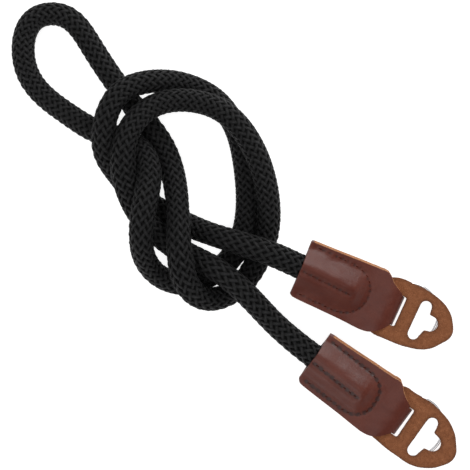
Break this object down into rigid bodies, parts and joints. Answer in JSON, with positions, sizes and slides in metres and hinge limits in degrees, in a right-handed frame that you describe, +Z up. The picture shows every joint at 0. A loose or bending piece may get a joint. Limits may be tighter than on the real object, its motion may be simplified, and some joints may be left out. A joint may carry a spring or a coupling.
{
  "type": "camera neck strap",
  "caption": "Rope neck strap for a camera, doubled and tied in a loose overhand knot, with stitched leather end covers, leather pads and split rings.",
  "frame": {"origin": "on the table, in the middle of the box of the two leather ends", "axes": "+Z up from the table the strap lies on, +X the mean heading of the two leather ends towards their tips, knot towards -X"},
  "size_m": [0.2609, 0.0995, 0.0271],
  "materials": {
    "rope_black": "braided polyester, soft sheen on the strands",
    "cover_leather": "smooth dark brown, semi-gloss, tan cut edges, black stitches",
    "pad_suede": "matt tan-brown suede",
    "ring_steel": "bright nickel plate"
  },
  "bodies": {
    "root": {"rope": "rope_black", "cover_a": "cover_leather", "cover_b": "cover_leather", "pad_a": "pad_suede", "pad_b": "pad_suede", "ring_a": "ring_steel", "ring_b": "ring_steel"}
  },
  "joints": []
}
